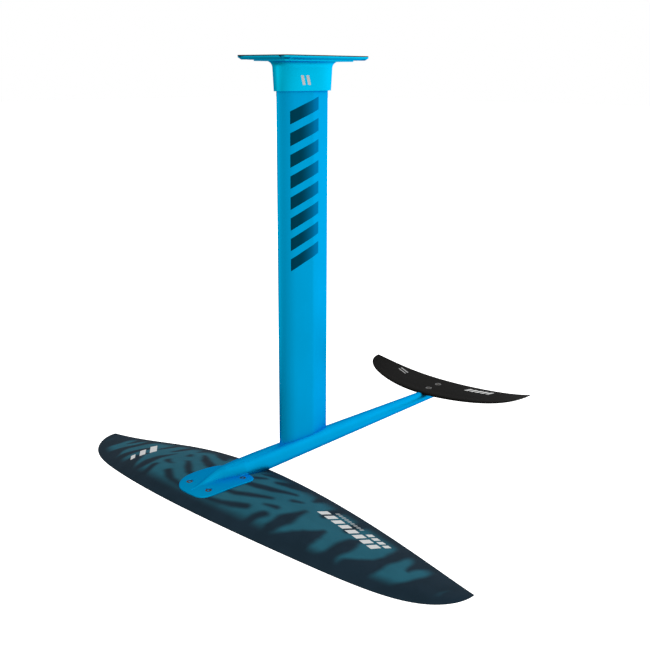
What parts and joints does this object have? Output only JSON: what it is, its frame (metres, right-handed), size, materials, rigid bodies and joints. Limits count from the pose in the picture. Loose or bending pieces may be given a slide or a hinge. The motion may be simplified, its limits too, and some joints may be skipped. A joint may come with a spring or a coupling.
{
  "type": "hydrofoil",
  "caption": "Hydrofoil for a surf or kite board: a blue aluminium mast under a slotted plate, a tapering fuselage, a wide drooping front wing and a small upturned stabiliser.",
  "frame": {"origin": "centre of the upper face of the mounting pad, the face that meets the board", "axes": "+Z out of that face towards the board, -Y towards the front wing, +X to the rider's left when facing forward"},
  "size_m": [0.878, 0.7524, 0.7495],
  "materials": {
    "pad_rubber": "matt black gasket",
    "plate_blue": "satin cyan anodised look",
    "mast_blue": "satin blue anodised aluminium",
    "fuselage_blue": "satin blue",
    "stainless": "stainless steel",
    "sleeve_steel": "turned stainless steel",
    "bare_aluminium": "machined",
    "wing_print": "matt navy carbon laminate with teal airbrush print",
    "wing_under": "matt navy carbon laminate",
    "stab_carbon": "matt carbon twill laminate",
    "foam_core": "closed-cell foam",
    "hardpoint": "glass laminate block"
  },
  "bodies": {
    "root": {"mount_pad": "pad_rubber", "top_plate": "plate_blue", "plate_screws": "stainless", "mast_extrusion": "mast_blue", "head_plugs": "bare_aluminium", "head_sleeves": "sleeve_steel", "foot_plugs": "bare_aluminium", "foot_sleeves": "sleeve_steel", "foot_screws": "stainless", "fuselage": "fuselage_blue", "tail_sleeves": "sleeve_steel", "wing_top_skin": "wing_print", "wing_bottom_skin": "wing_under", "wing_core": "foam_core", "wing_hardpoint": "hardpoint", "wing_sleeves": "sleeve_steel", "wing_screws": "stainless", "stab_top_skin": "stab_carbon", "stab_bottom_skin": "stab_carbon", "stab_core": "foam_core", "stab_ferrules": "sleeve_steel", "stab_screws": "stainless"}
  },
  "joints": []
}
